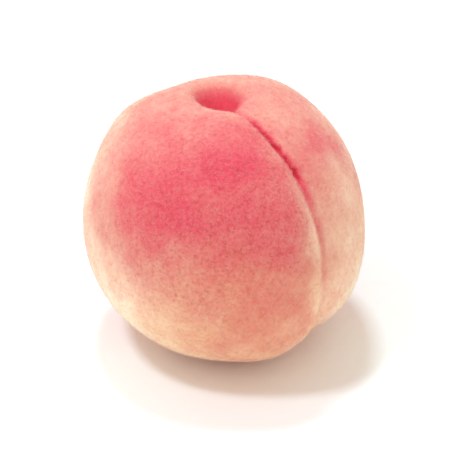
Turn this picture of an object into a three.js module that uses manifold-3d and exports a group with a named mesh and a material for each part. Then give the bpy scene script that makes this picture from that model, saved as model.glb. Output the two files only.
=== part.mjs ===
// A ripe peach, resting on its base: one solid fruit with a stem cavity on top,
// a suture groove down one side and a small flat spot underneath.
//
// Millimetres, +Z up. The origin is the middle of the flat resting spot, the front
// faces -Y, and the suture runs down the front right of the fruit.

import * as THREE from 'three';
import { mergeVertices } from 'three/addons/utils/BufferGeometryUtils.js';
import Module from 'manifold-3d';

// Body: an egg with slightly squared shoulders, measured from its middle.
const HALF_WIDTH = 36.5;          // along X
const HALF_DEPTH = 36.5;          // along Y
const REACH_UP = 39.0;
const REACH_DOWN = 33.5;
const SQUARENESS = 2.2;           // 2 is an ellipsoid, more is boxier
const TAPER = -0.07;              // negative narrows the crown and widens the base
const LEAN = -0.02;               // sideways drift of the crown for each mm of height
const BASE_DEPTH = 34.5;          // middle of the fruit above its flat resting spot

// Broad swellings (rise > 0) and hollows (rise < 0) of the flesh.
// Azimuth is from +X towards +Y and elevation above the horizon, in degrees.
const SWELLINGS = [
  { azimuth: 180, elevation: 5, spread: 25, rise: 1.0 },      // left cheek
  { azimuth: -70, elevation: -40, spread: 15, rise: 0.5 },    // foot of the front lobe
  { azimuth: -20, elevation: -30, spread: 15, rise: 0.5 },    // foot of the right lobe
  { azimuth: 200, elevation: -45, spread: 20, rise: -1.5 },   // flatter left base
  { azimuth: 130, elevation: 55, spread: 12, rise: -1.0 },    // dip behind the cavity
  { azimuth: 60, elevation: 50, spread: 15, rise: 1.0 },      // back right shoulder
  { azimuth: 150, elevation: 35, spread: 15, rise: 1.0 },     // back left shoulder
];

// Suture: a groove in the half plane at this azimuth, between two lobes.
const SUTURE_AZIMUTH = -48.0;
const SUTURE_OFFSET = 0.5;        // of its plane from the middle, towards the right lobe
const SUTURE_BEND = 1.3;          // towards the front lobe near the crown
const BEND_STARTS = 25;           // angles from the crown between which it straightens
const BEND_ENDS = 60;
const SUTURE_START = 0.24;        // the groove has its full depth this far out, as a sine
const SUTURE_FADES = 128;         // angle from the crown where the groove starts to run out
const SUTURE_ENDS = 158;          // angle from the crown where it is gone
const VALLEY_AT_CROWN = 1.9;
const VALLEY_AT_BASE = 1.7;
const VALLEY_WIDTH = 6.5;
const CREASE_DEPTH = 0.7;
const CREASE_WIDTH = 1.3;
const CREASE_FADES = 60;          // angles from the crown between which it runs out
const CREASE_ENDS = 110;
const LOBE_RISE = 1.0;            // the front lobe stands proud of the right lobe
const LOBE_EDGE = 3.2;            // distance over which the step turns from one to the other
const LOBE_FADE = 18.0;           // distance from the groove where the step has faded away

// Stem cavity: an oval funnel from the crown down towards the stone.
const CAVITY_X = -1.2;
const CAVITY_Y = 4.0;
const CAVITY_DEPTH = 11.5;
const CAVITY_RADIUS = 5.2;
const CAVITY_AZIMUTH = -78.0;     // of its long axis
const CAVITY_STRETCH = 1.35;      // length over width
const CAVITY_STEEPNESS = 2.3;

const STEPS_AROUND = 84;
const STEPS_DOWN = 38;
const SUTURE_CROWDING = 0.62;     // how far the columns gather at the suture, below 1
const CROWN_CROWDING = 1.3;       // above 1 gathers the rows at the crown

const radians = THREE.MathUtils.degToRad;

// Unit vector for an azimuth and an elevation in degrees.
function direction(azimuth, elevation) {
  const level = Math.cos(radians(elevation));
  return new THREE.Vector3(
    level * Math.cos(radians(azimuth)),
    level * Math.sin(radians(azimuth)),
    Math.sin(radians(elevation)),
  );
}

const sutureOut = direction(SUTURE_AZIMUTH, 0);
const sutureAcross = direction(SUTURE_AZIMUTH + 90, 0);
const cavityOut = direction(CAVITY_AZIMUTH, 0);
const cavityAcross = direction(CAVITY_AZIMUTH + 90, 0);

// Radius of the squared egg along a unit vector.
function bodyRadius(unit) {
  const reach = unit.z > 0 ? REACH_UP : REACH_DOWN;
  const sum = Math.abs(unit.x / HALF_WIDTH) ** SQUARENESS
    + Math.abs(unit.y / HALF_DEPTH) ** SQUARENESS
    + Math.abs(unit.z / reach) ** SQUARENESS;
  return sum ** (-1 / SQUARENESS) * (1 + TAPER * unit.z);
}

// Height of all swellings together along a unit vector: a bell over each one's spread.
function swelling(unit) {
  let rise = 0;
  for (const bump of SWELLINGS) {
    const nearness = unit.dot(direction(bump.azimuth, bump.elevation)) - 1;
    const sharpness = 1 / (1 - Math.cos(radians(bump.spread)));
    rise += bump.rise * Math.exp(nearness * sharpness);
  }
  return rise;
}

// Bell curve that is 1 at the middle and 0.37 at one width.
const bell = (offset, width) => Math.exp(-((offset / width) ** 2));

// Angle from the crown, in degrees.
function polarAngle(unit) {
  return THREE.MathUtils.radToDeg(Math.acos(THREE.MathUtils.clamp(unit.z, -1, 1)));
}

// Share of the suture's full relief: 1 along its length, 0 at the crown, on the far side
// and under the fruit.
function sutureLength(unit) {
  const start = THREE.MathUtils.smoothstep(unit.dot(sutureOut), 0, SUTURE_START);
  return start * (1 - THREE.MathUtils.smoothstep(polarAngle(unit), SUTURE_FADES, SUTURE_ENDS));
}

// Distance from the suture, positive on the right lobe: from a plane, less a bend near
// the crown.
function acrossSuture(unit) {
  const bend = SUTURE_BEND * (1 - THREE.MathUtils.smoothstep(polarAngle(unit), BEND_STARTS, BEND_ENDS));
  return HALF_WIDTH * unit.dot(sutureAcross) - SUTURE_OFFSET + bend;
}

// Rise of the skin by the suture: two bells cut the valley and its crease, and a soft
// step lifts the front lobe over the right one.
function sutureRise(unit) {
  const across = acrossSuture(unit);
  const towardsCrown = THREE.MathUtils.smoothstep(unit.z, 0.1, 0.95);
  const valley = THREE.MathUtils.lerp(VALLEY_AT_BASE, VALLEY_AT_CROWN, towardsCrown);
  const creased = 1 - THREE.MathUtils.smoothstep(polarAngle(unit), CREASE_FADES, CREASE_ENDS);
  const groove = valley * bell(across, VALLEY_WIDTH) + creased * CREASE_DEPTH * bell(across, CREASE_WIDTH);
  const step = -LOBE_RISE * Math.tanh(across / LOBE_EDGE) * bell(across, LOBE_FADE);
  return sutureLength(unit) * (step - groove);
}

// Depth of the stem cavity under the crown at a horizontal place.
function cavityDepth(unit) {
  if (unit.z <= 0) {
    return 0;
  }
  const offset = new THREE.Vector3(unit.x * HALF_WIDTH - CAVITY_X, unit.y * HALF_DEPTH - CAVITY_Y, 0);
  const along = offset.dot(cavityOut) / CAVITY_STRETCH;
  const off = Math.hypot(along, offset.dot(cavityAcross));
  return CAVITY_DEPTH * Math.exp(-((off / CAVITY_RADIUS) ** CAVITY_STEEPNESS));
}

// Point of the skin along a unit vector, with the flat spot's plane at z = 0.
function skinPoint(unit) {
  const radius = bodyRadius(unit) + swelling(unit) + sutureRise(unit);
  const point = unit.clone().multiplyScalar(radius);
  point.x += LEAN * point.z;
  point.z += BASE_DEPTH - cavityDepth(unit);
  return point;
}

// The whole fruit before its base is flattened: a unit sphere whose columns gather at
// the suture and whose rows gather at the crown, moved out to the skin.
function fruitGeometry() {
  const geometry = new THREE.SphereGeometry(1, STEPS_AROUND, STEPS_DOWN);
  geometry.rotateX(Math.PI / 2);
  geometry.deleteAttribute('normal');
  geometry.deleteAttribute('uv');
  const sphere = mergeVertices(geometry, 1e-5);
  const position = sphere.getAttribute('position');
  const point = new THREE.Vector3();
  for (let i = 0; i < position.count; i += 1) {
    point.fromBufferAttribute(position, i).normalize();
    const turn = Math.atan2(point.y, point.x);
    const azimuth = radians(SUTURE_AZIMUTH) + turn - SUTURE_CROWDING * Math.sin(turn);
    const fraction = Math.acos(THREE.MathUtils.clamp(point.z, -1, 1)) / Math.PI;
    const polar = Math.PI * fraction ** CROWN_CROWDING;
    point.set(Math.sin(polar) * Math.cos(azimuth), Math.sin(polar) * Math.sin(azimuth), Math.cos(polar));
    const moved = skinPoint(point);
    position.setXYZ(i, moved.x, moved.y, moved.z);
  }
  return sphere;
}

const wasm = await Module();
wasm.setup();

// Closed geometry with shared corners as a manifold-3d solid.
function solidFrom(geometry) {
  return new wasm.Manifold(new wasm.Mesh({
    numProp: 3,
    vertProperties: new Float32Array(geometry.getAttribute('position').array),
    triVerts: new Uint32Array(geometry.getIndex().array),
  }));
}

function geometryFrom(solid) {
  const mesh = solid.getMesh();
  const geometry = new THREE.BufferGeometry();
  geometry.setAttribute('position', new THREE.BufferAttribute(mesh.vertProperties, 3));
  geometry.setIndex(new THREE.BufferAttribute(mesh.triVerts, 1));
  return geometry;
}

// A block whose top face is the plane z = 0, wider than the fruit.
function groundBlock() {
  const side = 4 * HALF_WIDTH;
  const block = new THREE.BoxGeometry(side, side, side);
  block.translate(0, 0, -side / 2);
  block.deleteAttribute('normal');
  block.deleteAttribute('uv');
  return mergeVertices(block, 1e-5);
}

const flesh = solidFrom(fruitGeometry()).subtract(solidFrom(groundBlock()));
const skin = new THREE.MeshStandardMaterial({ color: 0xf08a84, roughness: 0.75, metalness: 0 });
const peach = new THREE.Mesh(geometryFrom(flesh), skin);
peach.name = 'peach';

const part = new THREE.Group();
part.add(peach);

export default part;
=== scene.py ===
"""A whole ripe peach, resting on its base on a pale floor.

The skin is one closed surface worked out from an azimuth and a polar angle, and its down is real
hair, standing on that surface. Lengths are in millimetres of a fruit 74 mm wide until metres()
turns them into the frame's metres.
"""

import math

import bpy
import numpy as np
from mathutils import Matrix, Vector


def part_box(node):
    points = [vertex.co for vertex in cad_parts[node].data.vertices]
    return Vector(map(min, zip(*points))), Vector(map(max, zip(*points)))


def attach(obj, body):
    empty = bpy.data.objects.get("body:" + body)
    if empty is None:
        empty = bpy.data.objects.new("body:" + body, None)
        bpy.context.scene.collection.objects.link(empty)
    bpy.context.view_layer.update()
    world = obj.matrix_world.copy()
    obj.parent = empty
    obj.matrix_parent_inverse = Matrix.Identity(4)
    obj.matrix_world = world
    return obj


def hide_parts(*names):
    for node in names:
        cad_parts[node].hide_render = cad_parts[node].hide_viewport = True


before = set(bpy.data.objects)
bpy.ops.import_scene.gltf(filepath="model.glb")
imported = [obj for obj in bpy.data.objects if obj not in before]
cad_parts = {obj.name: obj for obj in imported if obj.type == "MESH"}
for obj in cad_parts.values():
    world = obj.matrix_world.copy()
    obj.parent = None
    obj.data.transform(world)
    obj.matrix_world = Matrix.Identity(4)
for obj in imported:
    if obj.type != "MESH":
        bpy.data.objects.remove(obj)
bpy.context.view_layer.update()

LOW, HIGH = (np.array(corner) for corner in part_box("peach"))

# ---------------------------------------------------------------- driving dimensions, in mm

DESIGN_WIDTH = 74.00
MM = (HIGH[0] - LOW[0]) / DESIGN_WIDTH   # one millimetre of the design, in the frame's metres

# Body: an egg with slightly squared shoulders, measured from its middle.
HALF_WIDTH = 36.5
HALF_DEPTH = 36.5
REACH_UP = 39.0
REACH_DOWN = 33.5
SQUARENESS = 2.2
TAPER = -0.07
LEAN = -0.02
BASE_DEPTH = 34.5

# Broad swellings and hollows: azimuth from +X towards +Y, elevation, spread and rise.
SWELLINGS = (
    (180, 5, 25, 1.0),       # left cheek
    (-70, -40, 15, 0.5),     # foot of the front lobe
    (-20, -30, 15, 0.5),     # foot of the right lobe
    (200, -45, 20, -1.5),    # flatter left base
    (130, 55, 12, -1.0),     # dip behind the cavity
    (60, 50, 15, 1.0),       # back right shoulder
    (150, 35, 15, 1.0),      # back left shoulder
)

# Suture: a groove in the half plane at this azimuth, between two lobes.
SUTURE_AZIMUTH = -48.0
SUTURE_OFFSET = 0.5              # of its plane from the middle, towards the right lobe
SUTURE_BEND = 1.3                # towards the front lobe near the crown
BEND_ENDS = (25.0, 60.0)         # polar angles between which it straightens
SUTURE_WANDER = 0.25
SUTURE_START = 0.24
SUTURE_END = (128.0, 158.0)      # polar angles between which it runs out under the fruit
VALLEY_AT_CROWN = 1.9
VALLEY_AT_BASE = 1.7
VALLEY_WIDTH = 6.5
CREASE_DEPTH = 0.7
CREASE_WIDTH = 1.3
CREASE_END = (60.0, 110.0)       # polar angles between which the crease runs out
LOBE_RISE = 1.0
LOBE_EDGE = 3.2
LOBE_FADE = 18.0
LIP_RISE = 0.30                  # rounded edge of the front lobe beside the crease
LIP_ACROSS = -2.3
LIP_WIDTH = 0.9

# Split in the skin beside the crease, from the crown down: start and end as polar angles.
SPLIT_FROM = 19.0
SPLIT_TO = 47.0
SPLIT_ACROSS = 0.75
SPLIT_DEPTH = 0.7
SPLIT_WIDTH = 0.8
SPLIT_WANDER = ((0.22, 3.0, 3), (0.12, 1.1, 4))   # reach, wavelength and seed of each ripple

# Colour values carried by the mesh: where the crease is red, and where a painted highlight
# makes the lip pale. Starts and ends are polar angles.
RED_ACROSS = 0.6
RED_WIDTH = 1.3
RED_END = (55, 112)              # polar angles between which the crease loses its red
# Painted highlight along the front lobe's lip beside the crease: its width, and the polar angles between
# which it fades in and out.
LIP_HIGHLIGHT_WIDTH = 2.2
LIP_HIGHLIGHT_START = (25, 55)
LIP_HIGHLIGHT_END = (90, 125)
RED_HOLLOW = (0.08, 0.5)         # shares of the cavity's depth between which it reddens

# Stem cavity: an oval funnel from the crown down towards the stone.
CAVITY_X = -1.2
CAVITY_Y = 4.0
CAVITY_DEPTH = 11.5
CAVITY_RADIUS = 5.2
CAVITY_AZIMUTH = -78.0           # of its long axis
CAVITY_STRETCH = 1.35            # length over width
CAVITY_STEEPNESS = 2.3

COLUMNS = 430
ROWS = 222
SUTURE_CROWDING = 0.72
CROWN_CROWDING = 1.25

# Down: fine hairs that lean together into tufts. Real down is too fine and dense to show at
# this size, so the hairs are fewer and thicker than real ones.
HAIRS = 384_000
HAIRS_IN_A_PIECE = 48_000
HAIR_LENGTH = (0.30, 0.85)
HAIR_RADIUS = 0.020
HAIR_ROOT = 0.04                 # how far a hair starts below the skin
TUFT = 2.2                       # distance from one tuft to the next
TUFT_LEAN = 1.1                  # sideways lean of a hair in a tuft, as a share of its height
BROAD_LEAN = 0.5                 # share of the lean that follows a field four tufts wide
LOOSE_LEAN = 0.35                # share of each hair's own
SPARSE_CAVITY = 0.75             # share of the down missing at the cavity's floor
LOWEST_HAIR = 0.02               # keeps hairs off the floor
HAIR_PATCH = 0.0012              # side of a hair's place on the map, as a share of its side

# ---------------------------------------------------------------- small helpers


def srgb(code):
    """Linear RGBA from an sRGB hex value."""
    channels = np.array([code >> 16 & 255, code >> 8 & 255, code & 255]) / 255
    linear = np.where(channels <= 0.04045, channels / 12.92, ((channels + 0.055) / 1.055) ** 2.4)
    return (*linear.tolist(), 1.0)


def direction(azimuth, elevation):
    """Unit vector for an azimuth from +X towards +Y and an elevation, in degrees."""
    around, above = math.radians(azimuth), math.radians(elevation)
    level = math.cos(above)
    return np.array([level * math.cos(around), level * math.sin(around), math.sin(above)])


def bell(offset, width):
    """1 at the middle, 0.37 at one width away."""
    return np.exp(-((offset / width) ** 2))


def smooth_step(value, start, end):
    """0 before start, 1 after end, with no corner between."""
    share = np.clip((value - start) / (end - start), 0, 1)
    return share * share * (3 - 2 * share)


def ripple(place, wavelength, seed, waves=7):
    """Smooth random curve along place, within about -1 to 1: a sum of sine waves whose lengths
    spread about one wavelength, each with a random phase."""
    random = np.random.default_rng(seed)
    total = np.zeros_like(place)
    for length, phase in zip(random.uniform(0.6, 1.7, waves), random.uniform(0, 2 * math.pi, waves)):
        total += np.sin(2 * math.pi * place / (wavelength * length) + phase)
    return total / math.sqrt(waves)


def metres(points):
    """Design millimetres to the frame's metres, about the point of the floor under the middle."""
    return points * MM + np.array([0.0, 0.0, LOW[2]])


# ---------------------------------------------------------------- the skin's shape

SUTURE_OUT = direction(SUTURE_AZIMUTH, 0)
SUTURE_ACROSS = direction(SUTURE_AZIMUTH + 90, 0)
CAVITY_OUT = direction(CAVITY_AZIMUTH, 0)[:2]
CAVITY_ACROSS = direction(CAVITY_AZIMUTH + 90, 0)[:2]


def body_radius(unit):
    """Radius of the squared egg: the sum of each part of the unit vector over its half axis,
    to the power of the squareness, taken to the power of minus one over it, then tapered."""
    reach = np.where(unit[..., 2] > 0, REACH_UP, REACH_DOWN)
    half = np.stack([np.full_like(reach, HALF_WIDTH), np.full_like(reach, HALF_DEPTH), reach], -1)
    total = (np.abs(unit / half) ** SQUARENESS).sum(-1)
    return total ** (-1 / SQUARENESS) * (1 + TAPER * unit[..., 2])


def swelling(unit):
    """Sum of the swellings: each one's rise under a bell of its spread on the sphere."""
    rise = 0
    for azimuth, elevation, spread, height in SWELLINGS:
        sharpness = 1 / (1 - math.cos(math.radians(spread)))
        rise = rise + height * np.exp(sharpness * (unit @ direction(azimuth, elevation) - 1))
    return rise


def polar_angle(unit):
    """Angle from the crown, in degrees."""
    return np.degrees(np.arccos(np.clip(unit[..., 2], -1, 1)))


def along_suture(polar):
    """Distance from the crown round the fruit, for an angle from the crown in degrees."""
    return polar * math.radians(1) * HALF_WIDTH


def suture_length(unit):
    """1 along the suture, 0 at the crown's pole, on the far side and under the fruit."""
    start = smooth_step(unit @ SUTURE_OUT, 0, SUTURE_START)
    return start * (1 - smooth_step(polar_angle(unit), *SUTURE_END))


def across_suture(unit):
    """Distance from the suture, positive on the right lobe: from a plane, less a bend near the
    crown and a small wander."""
    polar = polar_angle(unit)
    bend = SUTURE_BEND * (1 - smooth_step(polar, *BEND_ENDS))
    wander = SUTURE_WANDER * ripple(along_suture(polar), 20.0, seed=8)
    return HALF_WIDTH * (unit @ SUTURE_ACROSS) - SUTURE_OFFSET + bend + wander


def suture_rise(unit):
    """Valley and crease as two bells across the suture plane, a narrow lip beside them, and a
    soft step that lifts the front lobe over the right one. The crease runs out half way down."""
    across = across_suture(unit)
    crease = CREASE_DEPTH * (1 - smooth_step(polar_angle(unit), *CREASE_END))
    near_crown = smooth_step(unit[..., 2], 0.1, 0.95)
    valley = VALLEY_AT_BASE + (VALLEY_AT_CROWN - VALLEY_AT_BASE) * near_crown
    groove = valley * bell(across, VALLEY_WIDTH) + crease * bell(across, CREASE_WIDTH)
    step = -LOBE_RISE * np.tanh(across / LOBE_EDGE) * bell(across, LOBE_FADE)
    lip = LIP_RISE * bell(across - LIP_ACROSS, LIP_WIDTH)
    return suture_length(unit) * (step + lip - groove)


def split_share(unit):
    """1 in the open split of the skin, 0 outside: a narrow bell about a wandering line in the
    crease, opening and closing along its length."""
    polar = polar_angle(unit)
    across = across_suture(unit)
    along = along_suture(polar)
    middle = SPLIT_ACROSS
    for reach, wavelength, seed in SPLIT_WANDER:
        middle = middle + reach * ripple(along, wavelength, seed)
    open_share = np.clip(0.85 + 0.35 * ripple(along, 6.5, seed=5), 0.0, 1.2)
    opens = smooth_step(polar, SPLIT_FROM - 3, SPLIT_FROM + 3)
    closes = smooth_step(-polar, -SPLIT_TO - 6, -SPLIT_TO)
    on_this_side = unit @ SUTURE_OUT > 0
    width = SPLIT_WIDTH * (0.35 + 0.65 * open_share)
    section = np.exp(-(np.abs((across - middle) / width) ** 2.5))
    return on_this_side * opens * closes * open_share * section


def cavity_depth(unit):
    """Depth of the funnel below the crown at a horizontal distance from its axis."""
    offset = unit[..., :2] * [HALF_WIDTH, HALF_DEPTH] - [CAVITY_X, CAVITY_Y]
    off = np.hypot(offset @ CAVITY_OUT / CAVITY_STRETCH, offset @ CAVITY_ACROSS)
    funnel = CAVITY_DEPTH * np.exp(-((off / CAVITY_RADIUS) ** CAVITY_STEEPNESS))
    return np.where(unit[..., 2] > 0, funnel, 0)


def skin_points(unit):
    """Points of the skin along unit vectors, flat where the fruit rests."""
    radius = body_radius(unit) + swelling(unit) + suture_rise(unit) - SPLIT_DEPTH * split_share(unit)
    points = unit * radius[..., None]
    points[..., 0] += LEAN * points[..., 2]
    points[..., 2] += BASE_DEPTH - cavity_depth(unit)
    points[..., 2] = np.maximum(points[..., 2], 0.0)
    return points


def skin_grid():
    """Unit vectors on a grid whose columns gather at the suture and whose rows gather at the
    crown: (ROWS - 1, COLUMNS, 3)."""
    turn = np.linspace(-math.pi, math.pi, COLUMNS, endpoint=False)
    azimuth = math.radians(SUTURE_AZIMUTH) + turn - SUTURE_CROWDING * np.sin(turn)
    polar = math.pi * (np.arange(1, ROWS) / ROWS) ** CROWN_CROWDING
    polar, azimuth = np.meshgrid(polar, azimuth, indexing="ij")
    level = np.sin(polar)
    return np.stack([level * np.cos(azimuth), level * np.sin(azimuth), np.cos(polar)], -1)


def closed_grid(points, top, bottom):
    """Vertices and faces of a grid that closes round on itself, with a fan at each end."""
    rows, columns = points.shape[:2]
    vertices = np.concatenate([points.reshape(-1, 3), [top, bottom]])
    index = np.arange(rows * columns).reshape(rows, columns)
    right = np.roll(index, -1, axis=1)
    quads = np.stack([index[:-1], index[1:], right[1:], right[:-1]], -1).reshape(-1, 4)
    crown = np.stack([np.full(columns, rows * columns), index[0], right[0]], -1)
    foot = np.stack([np.full(columns, rows * columns + 1), right[-1], index[-1]], -1)
    return vertices, [*quads.tolist(), *crown.tolist(), *foot.tolist()]


def add_piece(name, vertices, faces, material):
    """A mesh object at the origin, with its place in its mesh."""
    mesh = bpy.data.meshes.new(name)
    mesh.from_pydata(vertices.tolist(), [], faces)
    mesh.materials.append(material)
    piece = bpy.data.objects.new(name, mesh)
    bpy.context.collection.objects.link(piece)
    return piece


def add_values(piece, name, values):
    """One number for each vertex, for the material to read."""
    attribute = piece.data.attributes.new(name, "FLOAT", "POINT")
    attribute.data.foreach_set("value", np.ascontiguousarray(values, dtype=np.float32))


def make_skin(material):
    """The whole fruit as one closed surface, with the values its colours follow."""
    unit = skin_grid()
    poles = np.array([[0.0, 0.0, 1.0], [0.0, 0.0, -1.0]])
    points = metres(skin_points(unit))
    top, bottom = metres(skin_points(poles))
    vertices, faces = closed_grid(points, top, bottom)
    skin = add_piece("peach_skin", vertices, faces, material)
    skin.data.polygons.foreach_set("use_smooth", np.ones(len(faces), dtype=bool))
    add_shape_values(skin, np.concatenate([unit.reshape(-1, 3), poles]))
    return skin


def add_shape_values(piece, unit):
    """What the colours follow: the red of the crease, split and cavity, and the painted highlight on the
    lip.
    """
    across = across_suture(unit)
    length = suture_length(unit)
    polar = polar_angle(unit)
    uneven = np.clip(0.9 + 0.2 * ripple(along_suture(polar), 11.0, seed=6), 0.6, 1.1)
    reddened = uneven * (1 - smooth_step(polar, *RED_END))
    add_values(piece, "crease", length * reddened * bell(across - RED_ACROSS, RED_WIDTH))
    # Painted highlight: the lip values mark a band along the front lobe's rounded edge that the material
    # makes paler.
    lip_highlight_span = smooth_step(polar, *LIP_HIGHLIGHT_START) * (1 - smooth_step(polar, *LIP_HIGHLIGHT_END))
    add_values(piece, "lip", length * lip_highlight_span * bell(across - LIP_ACROSS, LIP_HIGHLIGHT_WIDTH))
    add_values(piece, "split", split_share(unit))
    add_values(piece, "hollow", smooth_step(cavity_depth(unit) / CAVITY_DEPTH, *RED_HOLLOW))


def wave_field(points, wavelength, seed, waves=14):
    """Smooth random vectors at points, each part about -1 to 1: a sum of plane waves whose
    directions and phases are random and whose lengths spread about one wavelength."""
    random = np.random.default_rng(seed)
    ways = random.normal(size=(waves, 3))
    lengths = wavelength * random.uniform(0.7, 1.5, waves)
    ways *= 2 * math.pi / (lengths * np.linalg.norm(ways, axis=1))[:, None]
    phases = random.uniform(0, 2 * math.pi, (3, waves))
    turns = points @ ways.T
    return np.stack([np.cos(turns + phase).sum(-1) for phase in phases], -1) / math.sqrt(waves / 2)


def hair_roots(count, random):
    """Places, outward normals and map places of hairs, even over the skin: a grid cell is drawn
    with a chance that follows its area, then a place within it."""
    unit = skin_grid()
    unit = np.concatenate([unit, unit[:, :1]], axis=1)
    points = skin_points(unit)
    low, high = points[:-1], points[1:]
    one = high[:, 1:] - low[:, :-1]
    two = low[:, 1:] - high[:, :-1]
    normal = np.cross(one, two)
    area = np.linalg.norm(normal, axis=-1)
    normal = (normal / np.maximum(area, 1e-9)[..., None]).reshape(-1, 3)
    corner = unit[:-1, :-1]
    bare = np.maximum(split_share(corner), SPARSE_CAVITY * cavity_depth(corner) / CAVITY_DEPTH)
    chance = (area * np.clip(1 - bare, 0, 1) * (points[:-1, :-1, 2] > 0.1)).ravel()
    cell = np.searchsorted(np.cumsum(chance) / chance.sum(), random.random(count))
    row, column = np.divmod(cell, COLUMNS)
    down, side = random.random((2, count, 1))
    upper = points[row, column] * (1 - side) + points[row, column + 1] * side
    lower = points[row + 1, column] * (1 - side) + points[row + 1, column + 1] * side
    root = upper * (1 - down) + lower * down
    place = np.stack([(column + side[:, 0]) / COLUMNS, (row + down[:, 0]) / ROWS], -1)
    outward = normal[cell]
    outward *= np.sign((outward * (root - [0, 0, BASE_DEPTH])).sum(-1))[:, None]
    return root, outward, place, unit[row, column]


def make_down(material):
    """The down, in pieces of equal count. A hair is a three-sided spike: three base corners on a
    circle about its root and a tip along the outward normal plus a lean taken from a random
    field, so that neighbours lean together into tufts."""
    random = np.random.default_rng(11)
    root, outward, place, unit = hair_roots(HAIRS, random)
    lean = wave_field(root, TUFT, seed=21) + BROAD_LEAN * wave_field(root, 4 * TUFT, seed=22)
    lean += LOOSE_LEAN * random.normal(size=root.shape)
    lean -= (lean * outward).sum(-1, keepdims=True) * outward
    along = outward + TUFT_LEAN * lean
    along /= np.linalg.norm(along, axis=-1, keepdims=True)
    length = random.uniform(*HAIR_LENGTH, HAIRS) * (0.55 + 0.45 * random.random(HAIRS))
    side = np.cross(along, random.normal(size=root.shape))
    side /= np.linalg.norm(side, axis=-1, keepdims=True)
    other = np.cross(along, side)
    corners = np.empty((HAIRS, 4, 3))
    for corner in range(3):
        turn = 2 * math.pi * corner / 3
        ring = math.cos(turn) * side + math.sin(turn) * other
        corners[:, corner] = root - HAIR_ROOT * outward + HAIR_RADIUS * ring
    corners[:, 3] = root + along * length[:, None]
    corners[..., 2] = np.maximum(corners[..., 2], LOWEST_HAIR)
    spike = np.array([[0, 2, 1], [0, 1, 3], [1, 2, 3], [2, 0, 3]])
    spots = place[:, None] + np.array([[0, 0], [1, 0], [0.5, 1], [0.5, 0.5]]) * HAIR_PATCH
    pieces = []
    for number, start in enumerate(range(0, HAIRS, HAIRS_IN_A_PIECE), 1):
        some = slice(start, start + HAIRS_IN_A_PIECE)
        count = len(corners[some])
        faces = (spike + 4 * np.arange(count)[:, None, None]).reshape(-1, 3)
        vertices = metres(corners[some].reshape(-1, 3))
        piece = add_piece(f"down_{number}", vertices, faces.tolist(), material)
        add_map(piece, spots[some].reshape(-1, 2)[faces.ravel()])
        add_shape_values(piece, np.repeat(unit[some], 4, axis=0))
        pieces.append(piece)
    return pieces


def add_map(piece, places):
    """A UV map with one place for each face corner."""
    layer = piece.data.uv_layers.new(name="OFBake")
    layer.data.foreach_set("uv", np.ascontiguousarray(places, dtype=np.float32).ravel())


# ---------------------------------------------------------------- materials


def add_node(tree, kind, links=None, values=None, **settings):
    """Adds a node with its settings, its plain input values and its links from other sockets."""
    node = tree.nodes.new(kind)
    for name, value in settings.items():
        setattr(node, name, value)
    for name, value in (values or {}).items():
        node.inputs[name].default_value = value
    for name, socket in (links or {}).items():
        tree.links.new(socket, node.inputs[name])
    return node


def new_material(name):
    """An empty material and its Principled shader, joined to the output."""
    material = bpy.data.materials.new(name)
    material.use_nodes = True
    tree = material.node_tree
    tree.nodes.clear()
    output = add_node(tree, "ShaderNodeOutputMaterial")
    shader = add_node(tree, "ShaderNodeBsdfPrincipled")
    tree.links.new(shader.outputs[0], output.inputs["Surface"])
    return material, tree, shader


def per_length(size):
    """Noise scale that makes a pattern repeat about every size mm."""
    return 1 / (size * MM)


# Blush by direction from the middle of the fruit: azimuth, elevation, reach and strength.
BLUSH = (
    (-80, 40, 100, 1.2),     # sunny front and crown
    (-85, 40, 35, 0.15),     # its strongest rose
    (-145, 35, 45, 0.15),    # left shoulder
    (-75, -50, 50, 0.35),    # runs low at the front
    (-35, 20, 30, -0.25),    # paler cheek right of the suture
    (100, -25, 145, 1.3),    # soft blush over the back
    (110, -20, 75, -0.6),    # with a cream window in it
    (-110, 70, 20, -0.1),    # pale rim in front of the cavity
    (-85, 60, 20, 0.25),     # rose below the rim
    (-125, 30, 25, 0.15),    # rose at the front left
    (-15, 45, 15, 0.2),      # rose on the right lobe
    (-40, 70, 25, -0.1),     # salmon between it and the cavity
    (175, 25, 30, -0.1),     # pale left cheek
)
BLUSH_EVERYWHERE = -0.45
STIPPLED = (-96, 32, 58)         # where the red dots stand out most
STIPPLE_ELSEWHERE = 0.3
SHADED_GROUND = (-84, -20, 50)   # where the ground is yellower
PATCH_RAGGEDNESS = 14.0          # size of the noise that makes the patches' edges uneven, in mm
PATCH_SHIFT = 16.0               # how far it moves them, in mm

# Mottles of the blush: size in mm, detail and strength. The fine one is its stipple.
STIPPLE_SIZE = 1.0
BROAD_MOTTLES = ((8.0, 3.0, 0.50), (3.0, 2.0, 0.15))
SKIN_STIPPLE = (STIPPLE_SIZE, 2.0, 0.45)
HAIR_STIPPLE = (STIPPLE_SIZE, 2.0, 0.25)
SPECK_SIZE = 0.8                 # dark red dots of pigment
SPECK_NOISE = (0.48, 0.70)       # noise at which a speck starts and at which it is full

# What the values that the mesh carries add to the blush; the lip's share takes blush out as a painted
# highlight.
RELIEF_BLUSH = (("hollow", 0.55), ("crease", 0.4), ("split", 0.6), ("lip", -0.26))

YELLOW_TINT = 0xFFFDEA
SPECK_TINT = 0xE8C6C0
HAIR_CREAM = 0xFFF1E6
CREAM_IN_HAIR = (0.42, 0.12)     # share of cream in a hair, on the open skin and in the cavity

# Skin colours from bare cream ground to the deepest red, by blush.
BLUSH_TONES = (
    (0.0, 0xFFEED4),         # cream
    (0.2, 0xF8CCB0),         # apricot
    (0.5, 0xEA9E8C),         # salmon
    (0.8, 0xE67272),         # coral
    (1.1, 0xE44C60),         # rose
    (1.4, 0xCC2A3A),         # crimson
)


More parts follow.
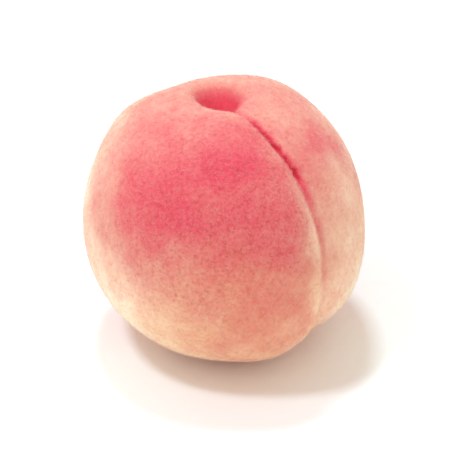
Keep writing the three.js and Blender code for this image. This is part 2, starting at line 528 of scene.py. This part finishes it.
def outward_direction(tree, place):
    """Direction from the fruit's middle, after a noise has moved the place a little, so that a
    patch drawn by it has an uneven edge."""
    warp = add_node(tree, "ShaderNodeTexNoise", {"Vector": place},
                    {"Scale": per_length(PATCH_RAGGEDNESS), "Detail": 3.0})
    shift = add_node(tree, "ShaderNodeVectorMath", {0: warp.outputs["Color"]}, {1: (0.5, 0.5, 0.5)},
                     operation="SUBTRACT")
    warped = add_node(tree, "ShaderNodeVectorMath", {0: shift.outputs[0], 2: place},
                      {1: [PATCH_SHIFT * MM] * 3}, operation="MULTIPLY_ADD")
    centred = add_node(tree, "ShaderNodeVectorMath", {0: warped.outputs[0]},
                       {1: (0, 0, LOW[2] + BASE_DEPTH * MM)}, operation="SUBTRACT")
    return add_node(tree, "ShaderNodeVectorMath", {0: centred.outputs[0]}, operation="NORMALIZE").outputs[0]


def soft_patch(tree, outward, azimuth, elevation, reach, strength):
    """The strength at a direction, fading smoothly to 0 at the reach in degrees."""
    nearness = add_node(tree, "ShaderNodeVectorMath", {0: outward}, {1: direction(azimuth, elevation)},
                        operation="DOT_PRODUCT")
    return add_node(tree, "ShaderNodeMapRange", {"Value": nearness.outputs["Value"]},
                    {"From Min": math.cos(math.radians(reach)), "From Max": 1.0,
                     "To Min": 0.0, "To Max": strength}, interpolation_type="SMOOTHSTEP").outputs[0]


def blush_amount(tree, place, outward, stippled, stipple):
    """Blush as a sum: a base level, a soft patch for each direction in BLUSH, the mottles, and
    what the values carried by the mesh add."""
    blush = add_node(tree, "ShaderNodeMath", {0: soft_patch(tree, outward, *BLUSH[0])},
                     {1: BLUSH_EVERYWHERE}, operation="ADD").outputs[0]
    for each in BLUSH[1:]:
        blush = add_node(tree, "ShaderNodeMath", {0: blush, 1: soft_patch(tree, outward, *each)},
                         operation="ADD").outputs[0]
    for size, detail, strength in (*BROAD_MOTTLES, stipple):
        mottle = add_node(tree, "ShaderNodeTexNoise", {"Vector": place},
                          {"Scale": per_length(size), "Detail": detail, "Roughness": 0.6})
        centre = add_node(tree, "ShaderNodeMath", {0: mottle.outputs["Fac"]}, {1: 0.5}, operation="SUBTRACT")
        if size == STIPPLE_SIZE:
            centre = add_node(tree, "ShaderNodeMath", {0: centre.outputs[0], 1: stippled},
                              operation="MULTIPLY")
        blush = add_node(tree, "ShaderNodeMath", {0: centre.outputs[0], 2: blush}, {1: strength},
                         operation="MULTIPLY_ADD").outputs[0]
    for name, strength in RELIEF_BLUSH:
        value = add_node(tree, "ShaderNodeAttribute", attribute_name=name)
        blush = add_node(tree, "ShaderNodeMath", {0: value.outputs["Fac"], 2: blush}, {1: strength},
                         operation="MULTIPLY_ADD").outputs[0]
    return blush


def blush_tones(tree, blush):
    """Colour picked from BLUSH_TONES by the amount of blush."""
    most = BLUSH_TONES[-1][0]
    share = add_node(tree, "ShaderNodeMath", {0: blush}, {1: 1 / most}, operation="MULTIPLY")
    tones = add_node(tree, "ShaderNodeValToRGB", {"Fac": share.outputs[0]})
    stops = tones.color_ramp.elements
    while len(stops) < len(BLUSH_TONES):
        stops.new(0.5)
    for stop, (amount, code) in zip(stops, BLUSH_TONES):
        stop.position = amount / most
        stop.color = srgb(code)
    return tones.outputs["Color"]


def add_skin_colour(tree, place, stipple):
    """Colour of the skin at an object place: the tone of its blush, yellower where the ground is
    shaded, then darkened by specks where the red dots stand out."""
    outward = outward_direction(tree, place)
    stippled = add_node(tree, "ShaderNodeMath",
                        {0: soft_patch(tree, outward, *STIPPLED, 1 - STIPPLE_ELSEWHERE)},
                        {1: STIPPLE_ELSEWHERE}, operation="ADD").outputs[0]
    tone = blush_tones(tree, blush_amount(tree, place, outward, stippled, stipple))
    yellowed = add_node(tree, "ShaderNodeMix",
                        {"Factor": soft_patch(tree, outward, *SHADED_GROUND, 1.0), "A": tone},
                        data_type="RGBA", blend_type="MULTIPLY")
    yellowed.inputs["B"].default_value = srgb(YELLOW_TINT)
    noise = add_node(tree, "ShaderNodeTexNoise", {"Vector": place},
                     {"Scale": per_length(SPECK_SIZE), "Detail": 2.0, "Roughness": 0.7})
    speck = add_node(tree, "ShaderNodeMapRange", {"Value": noise.outputs["Fac"], "To Max": stippled},
                     {"From Min": SPECK_NOISE[0], "From Max": SPECK_NOISE[1], "To Min": 0.0})
    specked = add_node(tree, "ShaderNodeMix", {"Factor": speck.outputs[0], "A": yellowed.outputs["Result"]},
                       data_type="RGBA", blend_type="MULTIPLY")
    specked.inputs["B"].default_value = srgb(SPECK_TINT)
    return specked.outputs["Result"]


def blush_skin():
    """Peach skin: a thin waxy cuticle under a mat of down. Its red pigment lies in patches and
    dots over a cream ground, which gives the soft stippled blush."""
    material, tree, shader = new_material("blushed_peach_skin")
    place = add_node(tree, "ShaderNodeTexCoord").outputs["Object"]
    colour = add_skin_colour(tree, place, SKIN_STIPPLE)
    tree.links.new(colour, shader.inputs["Base Color"])
    shader.inputs["Roughness"].default_value = 0.62
    shader.inputs["IOR"].default_value = 1.4
    shader.inputs["Specular IOR Level"].default_value = 0.25
    shader.inputs["Sheen Weight"].default_value = 0.15
    shader.inputs["Sheen Roughness"].default_value = 0.5
    shader.inputs["Sheen Tint"].default_value = srgb(0xFFE6DC)
    return material


def downy_hair():
    """Plant hair: clear cellulose, which takes up the colour under it and looks cream white
    against the light. It draws the pale velvet edge and the pale tufts over the blush."""
    material, tree, shader = new_material("cream_plant_hair")
    place = add_node(tree, "ShaderNodeTexCoord").outputs["Object"]
    colour = add_skin_colour(tree, place, HAIR_STIPPLE)
    hollow = add_node(tree, "ShaderNodeAttribute", attribute_name="hollow")
    share = add_node(tree, "ShaderNodeMapRange", {"Value": hollow.outputs["Fac"]},
                     {"From Min": 0.0, "From Max": 1.0,
                      "To Min": CREAM_IN_HAIR[0], "To Max": CREAM_IN_HAIR[1]})
    pale = add_node(tree, "ShaderNodeMix", {"A": colour, "Factor": share.outputs[0]}, data_type="RGBA")
    pale.inputs["B"].default_value = srgb(HAIR_CREAM)
    tree.links.new(pale.outputs["Result"], shader.inputs["Base Color"])
    shader.inputs["Roughness"].default_value = 0.5
    shader.inputs["IOR"].default_value = 1.5
    shader.inputs["Specular IOR Level"].default_value = 0.3
    return material


def floor_paper():
    """Matt white paper sweep: even and bright, so that only the shadow shows on it."""
    material, tree, shader = new_material("matt_white_paper")
    place = add_node(tree, "ShaderNodeTexCoord").outputs["Object"]
    grain = add_node(tree, "ShaderNodeTexNoise", {"Vector": place}, {"Scale": per_length(3.0)})
    tones = add_node(tree, "ShaderNodeMix", {"Factor": grain.outputs["Fac"]}, data_type="RGBA")
    tones.inputs["A"].default_value = srgb(0xFBFAF8)
    tones.inputs["B"].default_value = srgb(0xFFFEFC)
    tree.links.new(tones.outputs["Result"], shader.inputs["Base Color"])
    shader.inputs["Roughness"].default_value = 0.9
    return material


# ---------------------------------------------------------------- stage


FLOOR_REACH = 3.0             # from the fruit to each edge of the floor, in metres
LIGHT_DISTANCE = 0.9

# Soft boxes: azimuth, elevation, side, power and colour.
KEY_LIGHT = (-156, 65, 0.12, 3.3, 0xDDEEFF)
TOP_LIGHT = (105, 74, 0.16, 3.8, 0xD2F0FF)


def make_floor():
    """A square of paper, wide enough to fill every view, at the height the fruit rests on."""
    corners = FLOOR_REACH * np.array([[-1, -1, 0], [1, -1, 0], [1, 1, 0], [-1, 1, 0]])
    floor = add_piece("floor", corners + [0, 0, LOW[2]], [[0, 1, 2, 3]], floor_paper())


def aim(thing, place, target):
    """Puts a lamp or camera at a place, looking at a target."""
    thing.location = place
    thing.rotation_mode = "QUATERNION"
    thing.rotation_quaternion = (Vector(target) - Vector(place)).to_track_quat("-Z", "Y")


def make_light(name, azimuth, elevation, size, power, code):
    """A square soft box that looks at the middle of the fruit."""
    lamp = bpy.data.lights.new(name, "AREA")
    lamp.size = size
    lamp.energy = power
    lamp.color = srgb(code)[:3]
    light = bpy.data.objects.new(name, lamp)
    bpy.context.collection.objects.link(light)
    centre = (LOW + HIGH) / 2
    aim(light, centre + LIGHT_DISTANCE * direction(azimuth, elevation), centre)


def make_world(strength, code):
    """Even light from all round, as in a white tent."""
    world = bpy.data.worlds.new("white_tent")
    world.use_nodes = True
    background = world.node_tree.nodes["Background"]
    background.inputs["Color"].default_value = srgb(code)
    background.inputs["Strength"].default_value = strength
    bpy.context.scene.world = world


VIEW_ELEVATION = 32.0
VIEW_DISTANCE = 0.45
FRAME_WIDTH = 0.1188          # what the picture's width takes in at the fruit's middle
VIEW_RIGHT = -0.00024
VIEW_DOWN = 0.00227


def make_camera():
    """A portrait lens from the front, above the fruit, framing it whole with its shadow."""
    camera_data = bpy.data.cameras.new("camera")
    camera_data.sensor_width = 36.0
    camera_data.lens = camera_data.sensor_width * VIEW_DISTANCE / FRAME_WIDTH
    camera_data.clip_start, camera_data.clip_end = 0.01, 10.0
    camera = bpy.data.objects.new("camera", camera_data)
    bpy.context.collection.objects.link(camera)
    bpy.context.scene.camera = camera
    up = direction(90, 90 - VIEW_ELEVATION)
    back = direction(-90, VIEW_ELEVATION)
    middle = np.array([0, 0, LOW[2] + BASE_DEPTH * MM])
    target = middle + np.array([VIEW_RIGHT, 0, 0]) - VIEW_DOWN * up
    aim(camera, target + VIEW_DISTANCE * back, target)


# ---------------------------------------------------------------- assembly

make_camera()
skin = make_skin(blush_skin())
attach(skin, "root")
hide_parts("peach")

for piece in make_down(downy_hair()):
    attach(piece, "root")

make_floor()
make_light("key", *KEY_LIGHT)
make_light("top", *TOP_LIGHT)
make_world(0.80, 0xFCF6EC)
bpy.context.scene.view_settings.view_transform = "Standard"
